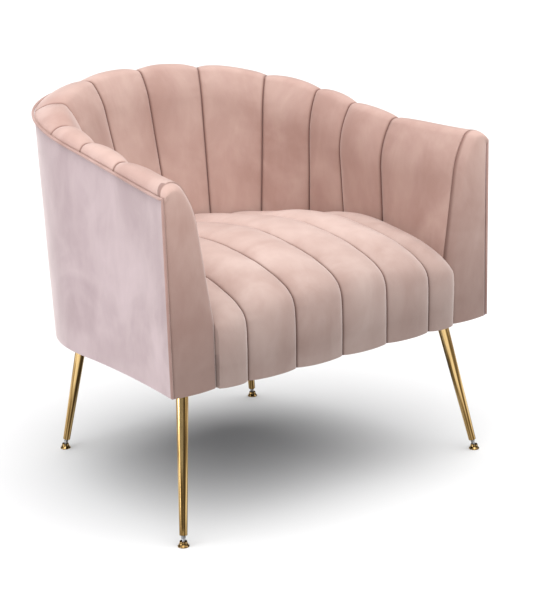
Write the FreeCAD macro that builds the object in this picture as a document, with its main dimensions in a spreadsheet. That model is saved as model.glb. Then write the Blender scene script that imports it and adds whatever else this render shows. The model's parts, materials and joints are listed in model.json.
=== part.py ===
"""Tub chair with a scalloped back: upholstered horseshoe shell on four splayed tapered legs.

Frame: +Z up, the chair faces -Y, +X is on the right of someone who looks at its front.
The origin lies on the floor under the middle of the chair's box. Millimetres and degrees.
"""
import FreeCAD
import Part

import math
import os

import Sketcher

Vector = FreeCAD.Vector

SIZES = {
    # Plan of the shell: each line runs round the back as a rounded curve, then forward as an arm
    "tub_centre_y": -2.6,
    "arm_length": 298,
    "foot_half_width": 271.5,
    "foot_depth": 188.5,
    "foot_roundness": 1.95,
    "foot_flare": 0.5,
    "crest_side_step": 32,
    "crest_back_step": 99.5,
    "crest_roundness": 2.2,
    "crest_flare": 36,
    "edge_side_step": 19.5,
    "edge_back_step": 28.5,
    "edge_roundness": 2.8,
    "edge_flare": 39,
    "hem_side_step": 9,
    "hem_back_inset": 13.5,
    "hem_roundness": 2.3,
    "hem_flare": 28,
    "flare_growth": 1.8,
    # Heights of the shell
    "hem_height": 263,
    "arm_height": 611,
    "back_height": 714,
    "rim_growth": 1.7,
    "edge_drop": 17.5,
    # Channels of the back and arms
    "seam_turn_one": 25.7,
    "seam_turn_two": 51.6,
    "seam_turn_three": 72.8,
    "seam_turn_four": 90,
    "arm_seam_forward": 110,
    "rim_radius": 20.5,
    "rim_blend": 35,
    "hollow_radius": 145,
    "pad_thickness": 18,
    "pad_crown": 8,
    "rim_crown": 3,
    "rim_back_inset": 3,
    "panel_round": 3,
    "panel_round_inset": 5,
    "panel_bulge": 5,
    "panel_bulge_inset": 12,
    # Seat
    "seat_height": 452,
    "seat_front_reach": 7,
    "seat_front_swell": 4,
    "seat_roll_start": 350,
    "seat_roll_height": 419,
    "seat_roll_depth": 50,
    "seat_crest_y": -68.6,
    "seat_back_fall": 27,
    "seat_side_fall": 25,
    "seat_crown": 8,
    "seat_channel_width": 104,
    "seat_pad_thickness": 20,
    # Wooden frame
    "ring_thickness": 18,
    "ring_inset": 6,
    "board_thickness": 18,
    "rail_thickness": 22,
    "rail_top": 370,
    "board_setback": 17.5,
    "rail_setback": 1,
    "ring_front_width": 60,
    "ring_inner_margin": 10,
    "lining_thickness": 4,
    "lining_lean": 2,
    "rim_rail_height": 40,
    "rim_rail_inner": 11,
    "rim_rail_outer": 15,
    "block_side": 60,
    "block_height": 40,
    "post_width": 22,
    "post_setback": 2,
    "arm_post_forward": 40,
    # Covers and webbing
    "cover_thickness": 3,
    "hem_turn": 8,
    "dust_cover_thickness": 1.2,
    "piping_radius": 2.5,
    "strap_width": 50,
    "strap_thickness": 1.2,
    "strap_pitch_across": 84,
    "strap_pitch_along": 82,
    "strap_seat": 9,
    # Legs
    "front_foot_side_step": 10.8,
    "front_foot_setback": 12,
    "back_foot_side_inset": 39.2,
    "back_foot_setback": 45,
    "front_splay_side": 0.171,
    "front_splay_fore": 0.182,
    "back_splay_side": 0.164,
    "back_splay_fore": -0.129,
    "leg_top_radius": 11.2,
    "leg_end_radius": 6.9,
    "plate_length": 66,
    "plate_width": 36,
    "plate_thickness": 3,
    "plate_corner": 8,
    "back_plate_turn": 40,
    "bolt_spacing": 46,
    "bolt_radius": 3,
    "bolt_length": 20,
    "bolt_head_radius": 5.7,
    "bolt_head_height": 4,
    # Levelling feet
    "foot_base_radius": 10,
    "foot_neck_radius": 6.6,
    "foot_top": 9.6,
    "socket_radius": 5.1,
    "socket_floor": 2.2,
    "head_radius": 4.5,
    "head_thickness": 2,
    "pivot_height": 4.7,
    "stud_radius": 4,
    "stud_neck_radius": 2.6,
    "stud_neck_end": 8,
    "stud_end": 36,
    "stud_travel": 10,
    "insert_start": 14,
    "insert_length": 18,
    "insert_radius": 5.2,
    "turned_sides": 20,
    # Clearances
    "soft_gap": 0.4,
    "seat_side_gap": 1.8,
    "edge_gap": 1.5,
    "piping_gap": 0.7,
    "board_gap": 0.3,
    "notch_gap": 1,
    "thread_gap": 0.05,
    "bolt_gap": 0.1,
}

# Each plan line stands off the one inside it, and the front and the feet stand off the shell
FORMULAS = {
    "crest_half_width": "foot_half_width + crest_side_step",
    "crest_depth": "foot_depth + crest_back_step",
    "edge_half_width": "crest_half_width + edge_side_step",
    "edge_depth": "crest_depth + edge_back_step",
    "hem_half_width": "edge_half_width + hem_side_step",
    "hem_depth": "edge_depth - hem_back_inset",
    "arm_front_y": "tub_centre_y - arm_length",
    "front_board_y": "arm_front_y + board_setback",
    "seat_front_y": "arm_front_y - seat_front_reach",
    "front_foot_x": "hem_half_width + front_foot_side_step",
    "front_foot_y": "arm_front_y + front_foot_setback",
    "back_foot_x": "foot_half_width - back_foot_side_inset",
    "back_foot_y": "tub_centre_y + hem_depth - back_foot_setback",
}

doc = FreeCAD.newDocument("TubChair")
sheet = doc.addObject("Spreadsheet::Sheet", "Sizes")
for row, (alias, value) in enumerate(SIZES.items(), start=1):
    sheet.set(f"A{row}", alias)
    sheet.set(f"B{row}", str(value))
    sheet.setAlias(f"B{row}", alias)
for row, (alias, formula) in enumerate(FORMULAS.items(), start=len(SIZES) + 1):
    sheet.set(f"A{row}", alias)
    sheet.set(f"B{row}", "=" + formula)
    sheet.setAlias(f"B{row}", alias)
doc.recompute()


def size(alias):
    """Value of one cell of the sheet."""
    return float(sheet.get(alias))


# Heights and places that follow from the sheet
ring_bottom = size("hem_height") + size("cover_thickness")
ring_top = ring_bottom + size("ring_thickness")
plate_bottom = ring_bottom - size("plate_thickness")
strap_bottom = size("rail_top") + size("board_gap")
cross_strap_bottom = strap_bottom + size("strap_thickness") + size("board_gap")
deck_height = cross_strap_bottom + size("strap_thickness") + size("board_gap")
arm_front_y = size("arm_front_y")
cover_front_forward = size("arm_length") - size("cover_thickness")
board_forward = size("tub_centre_y") - size("front_board_y")
board_back_forward = board_forward - size("board_thickness") - size("board_gap")
SQUARE_TURN = 90
COLUMNS = 8


def plan_reach(line, turn):
    """Distance from the tub centre to a plan line of the shell, in the direction turned from the back."""
    power = size(line + "_roundness")
    across = math.sin(math.radians(turn)) / size(line + "_half_width")
    back = abs(math.cos(math.radians(turn))) / size(line + "_depth")
    return (across ** power + back ** power) ** (-1 / power)


class Station:
    """An upright plane across the shell, and how far out each line of the shell lies in it.

    A place up to 90 is a turn in degrees about the tub centre, from the middle of the back.
    A place past 90 is on the straight arm, that many millimetres past 90 forward.
    """

    def __init__(self, place, side):
        turn = min(place, SQUARE_TURN)
        self.forward = max(place - SQUARE_TURN, 0)
        angle = math.radians(turn)
        self.origin = Vector(0, size("tub_centre_y") - self.forward, 0)
        self.out = Vector(side * math.sin(angle), math.cos(angle), 0)
        share = (self.forward / size("arm_length")) ** size("flare_growth")
        self.foot = plan_reach("foot", turn) + size("foot_flare") * share
        self.crest = plan_reach("crest", turn) + size("crest_flare") * share
        self.edge = plan_reach("edge", turn) + size("edge_flare") * share
        self.hem = plan_reach("hem", turn) + size("hem_flare") * share
        crest_y = self.origin.y + self.out.y * self.crest
        back_y = size("tub_centre_y") + size("crest_depth")
        rise = max(0, (crest_y - arm_front_y) / (back_y - arm_front_y)) ** size("rim_growth")
        self.crest_height = size("arm_height") + (size("back_height") - size("arm_height")) * rise
        self.edge_height = self.crest_height - size("edge_drop")

    def point(self, reach, height):
        """Point of this plane."""
        return self.origin + self.out * reach + Vector(0, 0, height)


class Profile:
    """Inner face and rolled rim of the shell in one station, as lines and arcs (reach, height)."""

    def __init__(self, station, face_crown, rim_crown, edge_inset=0):
        self.station = station
        blend = math.radians(size("rim_blend"))
        rim = size("rim_radius") + rim_crown
        hollow = size("hollow_radius")
        centre_reach = station.crest
        centre_height = station.crest_height - size("rim_radius")
        self.bottom = (station.foot - face_crown, deck_height + size("board_gap"))
        self.crest = (centre_reach, centre_height + rim)
        self.rim_start = self.on_circle(centre_reach, centre_height, rim, blend)
        self.rim_middle = self.on_circle(centre_reach, centre_height, rim, (blend + math.pi / 2) / 2)
        # The hollow of the inner face turns smoothly into the rim, and its foot runs straight down
        hollow_reach = centre_reach + (hollow - rim) * math.cos(blend)
        hollow_height = centre_height - (hollow - rim) * math.sin(blend)
        away = math.hypot(hollow_reach - self.bottom[0], hollow_height - self.bottom[1])
        slope = math.atan2(hollow_height - self.bottom[1], hollow_reach - self.bottom[0])
        touch = slope + math.asin(hollow / away)
        lean = math.pi / 2 - touch
        self.waist = self.on_circle(hollow_reach, hollow_height, hollow, lean)
        self.hollow_middle = self.on_circle(hollow_reach, hollow_height, hollow, (lean + blend) / 2)
        # The rim falls outward to the piped edge, level where it leaves the crest
        self.edge = (station.edge - edge_inset, station.edge_height)
        out = self.edge[0] - self.crest[0]
        drop = self.crest[1] - self.edge[1]
        radius = (out * out + drop * drop) / (2 * drop)
        half = math.atan2(drop, out)
        self.edge_middle = (self.crest[0] + radius * math.sin(half),
                            self.crest[1] - radius * (1 - math.cos(half)))

    @staticmethod
    def on_circle(reach, height, radius, tilt):
        """Point of a circle on its inner upper side, where the surface leans out by tilt."""
        return (reach - radius * math.cos(tilt), height + radius * math.sin(tilt))

    def face_points(self, level):
        """Points up the inner face and over the rim, from the foot past a level to the piped edge."""
        spots = [self.bottom, at_height(self.bottom, self.waist, level), self.waist,
                 self.hollow_middle, self.rim_start, self.rim_middle, self.crest,
                 self.edge_middle, self.edge]
        return [self.station.point(*spot) for spot in spots]

    def face_edges(self):
        """The same line as a straight foot and three arcs."""
        bottom, *_, waist, hollow, start, rim, crest, fall, edge = self.face_points(self.waist[1])
        return [line_edge(bottom, waist), arc_edge(waist, hollow, start),
                arc_edge(start, rim, crest), arc_edge(crest, fall, edge)]


def between(start, end, share):
    """Pair of numbers part of the way from one pair to another."""
    return tuple(low + (high - low) * share for low, high in zip(start, end))


def at_height(start, end, height):
    """Pair (reach, height) on the straight line from start to end."""
    return between(start, end, (height - start[1]) / (end[1] - start[1]))


def line_edge(start, end):
    return Part.LineSegment(start, end).toShape()


def arc_edge(start, middle, end):
    return Part.Arc(start, middle, end).toShape()


def polygon_edges(points):
    """Straight edges from point to point, not closed."""
    return [line_edge(start, end) for start, end in zip(points, points[1:])]


def loft(wires, ruled=False):
    """Closed solid through the wires."""
    solid = Part.makeLoft(wires, True, ruled)
    if solid.Volume < 0:
        solid.reverse()
    return solid


def crowned_row(start, middle, end):
    """Points along the arc across a pad, from seam to seam over its crown."""
    return arc_edge(start, middle, end).discretize(COLUMNS + 1)


def flat_face(points):
    """Flat face inside an open line of points."""
    return Part.Face(Part.Wire(polygon_edges(points + points[:1])))


def flat_faces(first, last):
    """Flat triangles between two lines of points, which may end in a shared point."""
    faces = []
    for (start, end), (other_start, other_end) in zip(zip(first, first[1:]), zip(last, last[1:])):
        for corners in ([start, end, other_end], [start, other_end, other_start]):
            faces.append(flat_face(corners))
    return faces


def solid_from(faces):
    """Closed solid bounded by the faces."""
    shell = Part.makeShell(faces)
    shell.sewShape()
    solid = Part.makeSolid(shell)
    if solid.Volume < 0:
        solid.reverse()
    return solid


parts = []


def keep(obj, label):
    """Name an object and list it as a sub-part to be written."""
    obj.Label = label
    parts.append(obj)
    return obj


def shaped(label, shape):
    """Sub-part whose shape is worked out from the sheet."""
    obj = doc.addObject("Part::Feature", label)
    obj.Shape = shape
    return keep(obj, label)


class Backing:
    """Back line of the pads in one station, which the lining board and the top rail follow."""

    def __init__(self, station):
        bare = Profile(station, 0, 0)
        thick = size("pad_thickness")
        self.station = station
        self.foot = (bare.bottom[0] + thick, bare.bottom[1])
        self.waist = (bare.waist[0] + thick, bare.waist[1])
        self.under_rim = (station.crest - size("rim_back_inset"), station.edge_height)
        self.edge = (station.edge, station.edge_height)

    def points(self, level):
        """One point behind each point of the inner face; they meet at the piped edge."""
        spots = [self.foot, at_height(self.foot, self.waist, level), self.waist,
                 between(self.waist, self.under_rim, 0.45), between(self.waist, self.under_rim, 0.8),
                 self.under_rim, between(self.under_rim, self.edge, 0.35),
                 between(self.under_rim, self.edge, 0.7), self.edge]
        return [self.station.point(*spot) for spot in spots]


def channel_solid(stations, last_fullness):
    """Padded channel between two stations, with its full crown at the station between them.

    Arcs run across the crown from seam to seam, and a skin of flat faces joins each to the next.
    """
    profiles = [Profile(station, size("pad_crown") * fullness, size("rim_crown") * fullness)
                for station, fullness in zip(stations, (0, 1, last_fullness))]
    # The foot of the channel is cut level below the lowest waist
    level = min(profile.waist[1] for profile in profiles) - size("pad_thickness") / 2
    first, middle, last = [profile.face_points(level) for profile in profiles]
    first_back, last_back = [Backing(stations[place]).points(level) for place in (0, 2)]
    rows = [crowned_row(*points) for points in zip(first, middle, last)]
    faces = flat_faces(first_back, last_back)
    for low, high in zip(rows, rows[1:]):
        faces += flat_faces(low, high)
    faces += [flat_face(first + first_back[-2::-1]), flat_face(last + last_back[-2::-1])]
    faces += [flat_face(rows[0] + [last_back[0], first_back[0]]), flat_face(rows[-1])]
    return solid_from(faces)


def clear_of_seam(place):
    """Half the gap between two channels, in the unit of a place on the shell."""
    if place > SQUARE_TURN:
        return size("soft_gap") / 2
    return math.degrees(size("soft_gap") / 2 / size("foot_depth"))


def back_channel(label, first, last, side):
    """One padded channel between two seams, given as places on the shell."""
    first = first + clear_of_seam(first)
    last = last - clear_of_seam(last)
    stations = [Station(place, side) for place in (first, (first + last) / 2, last)]
    return shaped(label, channel_solid(stations, 0))


def arm_channel(label, side):
    """Wide channel along the arm, from the last seam to the board at the arm's front."""
    first = SQUARE_TURN + size("arm_seam_forward") + size("soft_gap") / 2
    last = SQUARE_TURN + board_forward
    stations = [Station(place, side) for place in (first, (first + last) / 2, last)]
    return shaped(label, channel_solid(stations, 0.9))


seam_turns = [0, size("seam_turn_one"), size("seam_turn_two"), size("seam_turn_three"),
              size("seam_turn_four"), SQUARE_TURN + size("arm_seam_forward")]
SIDES = (("left", -1), ("right", 1))
for side_name, side in SIDES:
    for number, (first, last) in enumerate(zip(seam_turns, seam_turns[1:]), start=1):
        back_channel(f"back_channel_{side_name}_{number}", first, last, side)
    arm_channel(f"arm_channel_{side_name}", side)


def front_panel(label, side):
    """Crowned panel that closes the front of an arm, from the rim down to the hem."""
    side_gap = size("cover_thickness") + 2 * size("soft_gap")
    rear = board_forward + size("soft_gap")
    front = size("arm_length")
    wires = []
    rounded = ((rear, 0), (front, size("board_gap")),
               (front + size("panel_round"), size("panel_round_inset")),
               (front + size("panel_bulge"), size("panel_bulge_inset")))
    for forward, inset in rounded:
        station = Station(SQUARE_TURN + min(forward, front), side)
        station.origin = Vector(0, size("tub_centre_y") - forward, 0)
        profile = Profile(station, size("pad_crown") - inset, size("rim_crown") - inset,
                          side_gap + inset)
        low = size("hem_height") + size("cover_thickness") + inset
        corners = [profile.edge, (station.hem - side_gap - inset, low),
                   (profile.bottom[0], low), profile.bottom]
        closing = [station.point(*corner) for corner in corners]
        wires.append(Part.Wire(profile.face_edges() + polygon_edges(closing)))
    return shaped(label, loft(wires, True))


for side_name, side in SIDES:
    front_panel(f"arm_front_panel_{side_name}", side)


def places_round(start, end, steps):
    """Signed places from start to end; negative ones are on the left."""
    return [start + (end - start) * step / steps for step in range(steps + 1)]


def signed_station(place):
    """Station at a signed place: negative on the left, positive on the right."""
    return Station(abs(place), -1 if place < 0 else 1)


def round_solid(section, places):
    """Solid that follows the shell: one closed section of points in each signed place."""
    rings = []
    for place in places:
        station = signed_station(place)
        ring = [station.point(*corner) for corner in section(station)]
        rings.append(ring + ring[:1])
    faces = []
    for place, first, last in zip(places, rings, rings[1:]):
        faces += flat_faces(last, first) if place < 0 else flat_faces(first, last)
    faces += [flat_face(rings[0][:-1]), flat_face(rings[-1][:-1])]
    return solid_from(faces)


def cover_section(station):
    """Outer cover with its hem turned under the base."""
    thick = size("cover_thickness")
    hem = size("hem_height")
    top = station.edge_height - size("edge_gap")
    turned = station.hem - thick - size("hem_turn")
    floor_side = hem + thick - size("board_gap")
    return [(station.hem, hem), (station.edge, top), (station.edge - thick, top),
            (station.hem - thick, floor_side), (turned, floor_side), (turned, hem)]


COVER_SPLIT = 48
cover_gap = math.degrees(size("soft_gap") / 2 / size("edge_depth"))
cover_front = SQUARE_TURN + cover_front_forward
arm_places = places_round(cover_front, SQUARE_TURN, 7)
side_places = arm_places + places_round(SQUARE_TURN - 6, COVER_SPLIT + cover_gap, 7)
shaped("outer_cover_left", round_solid(cover_section, [-place for place in side_places]))
shaped("outer_cover_right", round_solid(cover_section, side_places))
back_places = places_round(-COVER_SPLIT + cover_gap, COVER_SPLIT - cover_gap, 16)
shaped("outer_cover_back", round_solid(cover_section, back_places))

piping_side = arm_places + places_round(SQUARE_TURN - 6, 6, 14)
all_round = [-place for place in piping_side] + [0] + list(reversed(piping_side))


def piping_section(station):
    """Six-sided section of the piping just outside the edge."""
    radius = size("piping_radius")
    reach = station.edge + radius + size("piping_gap")
    corners = []
    for step in range(6):
        angle = math.radians(60 * step)
        corners.append((reach + radius * math.cos(angle),
                        station.edge_height + radius * math.sin(angle)))
    return corners


def corner_piping(side):
    """Straight piping down the outer corner at the arm's front."""
    station = Station(SQUARE_TURN + size("arm_length"), side)
    radius = size("piping_radius")
    station.origin = Vector(0, size("tub_centre_y") - cover_front_forward
                            - radius - size("board_gap"), 0)
    inset = size("cover_thickness") / 2
    low = station.point(station.hem - inset, size("hem_height"))
    high = station.point(station.edge - inset, station.edge_height - radius)
    return Part.makeCylinder(radius, (high - low).Length, low, high - low)


piping_run = round_solid(piping_section, all_round)
shaped("piping", Part.makeCompound([piping_run, corner_piping(-1), corner_piping(1)]))


# Frame pieces that follow the shell
def lining_section(station):
    """Bent board behind the pads."""
    gap = size("soft_gap")
    thick = size("lining_thickness")
    back = Backing(station)
    foot = (back.foot[0] + gap, size("rail_top") + size("board_gap"))
    waist = (back.waist[0] + gap + size("lining_lean"), back.waist[1])
    return [foot, waist, (waist[0] + thick, waist[1]), (foot[0] + thick, foot[1])]


def rim_rail_section(station):
    """Shaped top rail just under the rim."""
    top = station.edge_height - size("soft_gap")
    low = top - size("rim_rail_height")
    inner = station.crest - size("rim_rail_inner")
    outer = station.crest + size("rim_rail_outer")
    upper_inner = station.crest + size("lining_thickness") + size("soft_gap")
    return [(inner, low), (upper_inner, top), (outer, top), (outer, low)]


def places_of_frame(front):
    """Places of the seams, all round from one arm's front to the other's, as the pads' backs run."""
    side = [front] + seam_turns[:0:-1]
    return [-place for place in side] + [0] + side[::-1]


lining_places = places_of_frame(SQUARE_TURN + board_forward)
rail_places = places_of_frame(SQUARE_TURN + board_back_forward)
shaped("inner_lining", round_solid(lining_section, lining_places))
shaped("rim_rail", round_solid(rim_rail_section, rail_places))


def ring_outer_reach(station):
    return station.hem - size("cover_thickness") - size("ring_inset")


def ring_inner_reach(station):
    return station.foot - size("ring_inner_margin")


def rail_underside(place):
    """Height of the top rail's underside at a place of at least 0, where it runs straight."""
    for last, first in zip(rail_places[::-1], rail_places[-2::-1]):
        if first <= place <= last:
            heights = [signed_station(end).edge_height for end in (first, last)]
            share = (place - first) / (last - first)
            return (heights[0] + (heights[1] - heights[0]) * share
                    - size("soft_gap") - size("rim_rail_height"))


def post(label, places):
    """Upright posts between the base ring and the top rail, at signed places."""
    solids = []
    for place in places:
        station = signed_station(place)
        half = size("post_width") / 2
        along = Vector(-station.out.y, station.out.x, 0) * half
        inner = station.crest - size("rim_rail_inner") + size("post_setback")
        outer = min(station.crest + size("rim_rail_outer"), ring_outer_reach(station))
        spread = half if abs(place) > SQUARE_TURN else math.degrees(half / inner)
        top = min(rail_underside(abs(place) + offset) for offset in (-spread, spread))
        low = ring_top + size("board_gap")
        base = [station.point(inner, low) - along, station.point(outer, low) - along,
                station.point(outer, low) + along, station.point(inner, low) + along]
        solids.append(flat_face(base).extrude(Vector(0, 0, top - 2 * size("board_gap") - low)))
    return shaped(label, Part.makeCompound(solids))


post_turns = [seam_turns[1] / 2, (seam_turns[2] + seam_turns[3]) / 2]
back_post_places = [-place for place in post_turns] + post_turns
arm_post_place = seam_turns[5] + size("arm_post_forward")
arm_post_places = [-arm_post_place, arm_post_place]
post("back_posts", back_post_places)
post("arm_posts", arm_post_places)


def plan_outline(reach_at, height, front_y):
    """Closed line of points round the shell at one height, cut off square at the front."""
    forward = size("tub_centre_y") - front_y
    side = places_round(SQUARE_TURN + forward, SQUARE_TURN, 4) + places_round(SQUARE_TURN, 0, 14)[1:]
    places = [-place for place in side] + list(reversed(side[:-1]))
    stations = [signed_station(place) for place in places]
    points = [station.point(reach_at(station), height) for station in stations]
    return points + points[:1]


def flat_plate(outline, thickness):
    """Flat plate raised from a closed outline."""
    return Part.Face(Part.Wire(polygon_edges(outline))).extrude(Vector(0, 0, thickness))


# Legs: each has its own foot point and splay, and an axis that runs up to its plate
class Leg:
    """Place and direction of one leg; its own z runs up the leg from the pivot of its foot."""

    def __init__(self, name, side, end):
        self.name = name
        self.foot = Vector(side * size(end + "_foot_x"), size(end + "_foot_y"), size("pivot_height"))
        slope = Vector(-side * size(end + "_splay_side"), size(end + "_splay_fore"), 1)
        self.stretch = slope.Length
        self.axis = slope.normalize()
        self.placement = FreeCAD.Placement(self.foot, FreeCAD.Rotation(Vector(0, 0, 1), self.axis))
        self.plate_turn = -side * size("back_plate_turn") if end == "back" else SQUARE_TURN

    def at_height(self, height):
        """Point of the leg's axis at a height above the floor."""
        return self.foot + self.axis * ((height - self.foot.z) * self.stretch)

    def plate_placement(self, height):
        """The middle of the plate, with its length along its own x, moved to a height."""
        middle = self.at_height(plate_bottom)
        turn = FreeCAD.Rotation(Vector(0, 0, 1), self.plate_turn)
        return FreeCAD.Placement(Vector(middle.x, middle.y, height), turn)

    def bolt_places(self, height):
        """The two bolt points of the plate at a height."""
        place = self.plate_placement(height)
        return [place.multVec(Vector(end * size("bolt_spacing") / 2, 0, 0)) for end in (-1, 1)]


LEGS = [Leg(f"{end}_{side_name}", side, end) for end in ("front", "back") for side_name, side in SIDES]
hole_radius = size("bolt_radius") + size("bolt_gap")


def base_ring():
    """Plywood ring under the whole shell, drilled for the leg bolts."""
    thick = size("ring_thickness")
    front = size("front_board_y")
    outer = plan_outline(ring_outer_reach, ring_bottom, front)
    inner = plan_outline(ring_inner_reach, ring_bottom, front + size("ring_front_width"))
    holes = [Part.makeCylinder(hole_radius, thick, place)
             for leg in LEGS for place in leg.bolt_places(ring_bottom)]
    return shaped("base_ring", flat_plate(outer, thick).cut([flat_plate(inner, thick)] + holes))


def dust_cover():
    """Thin cloth under the ring, inside the turned hem and notched round the leg plates."""
    thick = size("dust_cover_thickness")
    inset = size("cover_thickness") + size("hem_turn") + size("notch_gap")
    low = ring_bottom - thick
    outline = plan_outline(lambda station: station.hem - inset, low,
                           size("front_board_y") + size("board_gap"))
    notches = []
    for leg in LEGS:
        long = size("plate_length") + 2 * size("notch_gap")
        wide = size("plate_width") + 2 * size("notch_gap")
        notch = Part.makeBox(long, wide, thick, Vector(-long / 2, -wide / 2, 0))
        notch.Placement = leg.plate_placement(low)
        notches.append(notch)
    return shaped("dust_cover", flat_plate(outline, thick).cut(notches))


base_ring()
dust_cover()


def rail_section(station):
    """Upright rail on the base ring under the foot of the pads."""
    low = ring_top + size("board_gap")
    inner = station.foot + size("rail_setback")
    outer = inner + size("rail_thickness")
    return [(inner, low), (inner, size("rail_top")), (outer, size("rail_top")), (outer, low)]


rail_half = places_round(SQUARE_TURN - 1, 0, 14)
shaped("back_rail", round_solid(rail_section, [-place for place in rail_half] + rail_half[-2::-1]))


def plane_of(body, role):
    """Origin plane of a body."""
    return [plane for plane in body.Origin.OriginFeatures if plane.Role == role][0]


def new_body(label):
    body = doc.addObject("PartDesign::Body", label)
    body.Label = label
    return body


def new_sketch(body, name, role):
    """Sketch on an origin plane of its body."""
    sketch = body.newObject("Sketcher::SketchObject", name)
    sketch.AttachmentSupport = (plane_of(body, role), [""])
    sketch.MapMode = "FlatFace"
    return sketch


def bind_point(sketch, line, corner, formulas):
    """Hold the start of a line at the two formulas, from the sketch's origin."""
    for kind, axis, formula in (("DistanceX", -2, formulas[0]), ("DistanceY", -1, formulas[1])):
        if formula == "0":
            sketch.addConstraint(Sketcher.Constraint("PointOnObject", line, 1, axis))
        else:
            value = corner.x if kind == "DistanceX" else corner.y
            index = sketch.addConstraint(Sketcher.Constraint(kind, -1, 1, line, 1, value))
            sketch.setExpression(f"Constraints[{index}]", formula)


def draw_outline(sketch, corners):
    """Closed outline through corners, each a pair of formulas on the sheet."""
    points = [Vector(float(sketch.evalExpression(across)), float(sketch.evalExpression(up)), 0)
              for across, up in corners]
    count = len(points)
    for index, point in enumerate(points):
        sketch.addGeometry(Part.LineSegment(point, points[(index + 1) % count]), False)
    for index in range(count):
        sketch.addConstraint(Sketcher.Constraint("Coincident", index, 2, (index + 1) % count, 1))
    for index, corner in enumerate(corners):
        bind_point(sketch, index, points[index], corner)


def revolved_body(label, corners):
    """Body turned about its own z from an outline of (radius, height) formulas."""
    body = new_body(label)
    sketch = new_sketch(body, label + "_profile", "XZ_Plane")
    draw_outline(sketch, corners)
    turned = body.newObject("PartDesign::Revolution", label + "_turned")
    turned.Profile = sketch
    turned.ReferenceAxis = (sketch, ["V_Axis"])
    turned.Angle = 360
    return body


def padded_body(label, role, corners, length):
    """Body raised from an outline by a length, both given by formulas."""
    body = new_body(label)
    sketch = new_sketch(body, label + "_outline", role)
    draw_outline(sketch, corners)
    pad = body.newObject("PartDesign::Pad", label + "_pad")
    pad.Profile = sketch
    pad.setExpression("Length", length)
    return body


# Straight rails of the seat box
front_half = "(Sizes.foot_half_width + Sizes.foot_flare - 2 * Sizes.board_gap)"
rail_rise = f"(Sizes.rail_top - {ring_top + size('board_gap')})"
front_rail = padded_body("front_rail", "XY_Plane",
                         [("-" + front_half, "0"), (front_half, "0"),
                          (front_half, "Sizes.rail_thickness"), ("-" + front_half, "Sizes.rail_thickness")],
                         rail_rise)
front_rail.Placement.Base = Vector(0, size("front_board_y"), ring_top + size("board_gap"))
keep(front_rail, "front_rail")
side_rail_start = size("front_board_y") + size("board_thickness") + 2 * size("board_gap")
for side_name, side in SIDES:
    rail = padded_body(f"side_rail_{side_name}", "XY_Plane",
                       [("0", "0"), ("Sizes.rail_thickness", "0"),
                        ("Sizes.rail_thickness", "Sizes.tub_centre_y - Sizes.front_board_y"
                         " - Sizes.board_thickness - 3 * Sizes.board_gap"),
                        ("0", "Sizes.tub_centre_y - Sizes.front_board_y"
                         " - Sizes.board_thickness - 3 * Sizes.board_gap")], rail_rise)
    inner = size("foot_half_width") + size("foot_flare") + size("rail_setback")
    left_edge = inner if side > 0 else -inner - size("rail_thickness")
    rail.Placement.Base = Vector(left_edge, side_rail_start, ring_top + size("board_gap"))
    keep(rail, f"side_rail_{side_name}")


def arm_board(label, side):
    """Shaped board inside the front of an arm: inside it clears the lining, outside the cover."""
    front = Station(SQUARE_TURN + board_forward, side)
    rear = Station(SQUARE_TURN + board_back_forward, side)
    back = Backing(front)
    inner = size("lining_thickness") + size("lining_lean") + 2 * size("soft_gap")
    low = ring_top + size("board_gap")
    high = front.edge_height - size("soft_gap")
    high_outer = rear.edge - size("cover_thickness") - size("ring_inset")
    corners = [(back.foot[0] + inner, low), (back.foot[0] + inner, size("rail_top")),
               (back.waist[0] + inner, back.waist[1]), (front.crest + inner, high),
               (high_outer, high), (ring_outer_reach(rear), low)]
    outline = [front.point(*corner) for corner in corners]
    return shaped(label, flat_face(outline).extrude(Vector(0, size("board_thickness"), 0)))


for side_name, side in SIDES:
    arm_board(f"arm_board_{side_name}", side)


def grouped(label, objects):
    """Several separate solids under one name."""
    group = doc.addObject("Part::Compound", label)
    group.Links = objects
    return keep(group, label)


def bound_box(name, corner, formulas):
    """Box with its low corner at a point and its three sides bound to formulas."""
    box = doc.addObject("Part::Box", name)
    for side_name, formula in zip(("Length", "Width", "Height"), formulas):
        box.setExpression(side_name, formula)
    box.Placement.Base = corner
    return box


blocks = []
for side_name, side in SIDES:
    block_reach = (size("foot_half_width") + size("foot_flare") + size("rail_setback")
                   - size("board_gap"))
    left_edge = block_reach - size("block_side") if side > 0 else -block_reach
    corner = Vector(left_edge, size("front_board_y") + size("rail_thickness") + size("board_gap"),
                    ring_top + size("board_gap"))
    blocks.append(bound_box(f"corner_block_{side_name}", corner,
                            ["Sizes.block_side", "Sizes.block_side", "Sizes.block_height"]))
grouped("corner_blocks", blocks)


# Webbing on top of the rails
def back_of(across, offset):
    """Place of the foot line of the pads behind a distance from the middle, moved out by an offset."""
    power = size("foot_roundness")
    half = size("foot_half_width") + offset
    share = min(abs(across) / half, 1) ** power
    return size("tub_centre_y") + (size("foot_depth") + offset) * (1 - share) ** (1 / power)


def half_width_at(y, offset):
    """Half the width of the foot line at a place forward or back, moved out by an offset."""
    if y <= size("tub_centre_y"):
        return size("foot_half_width") + offset
    power = size("foot_roundness")
    share = ((y - size("tub_centre_y")) / (size("foot_depth") + offset)) ** power
    return (size("foot_half_width") + offset) * (1 - share) ** (1 / power)


long_straps = []
for number in range(-2, 3):
    middle = number * size("strap_pitch_across")
    outer_edge = abs(middle) + size("strap_width") / 2
    start = size("front_board_y") + size("board_gap")
    length = back_of(outer_edge, size("strap_seat") + size("rail_setback")) - start
    long_straps.append(bound_box(f"long_strap_{number + 3}",
                                 Vector(middle - size("strap_width") / 2, start, strap_bottom),
                                 ["Sizes.strap_width", str(length), "Sizes.strap_thickness"]))
grouped("webbing_lengthwise", long_straps)

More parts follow.
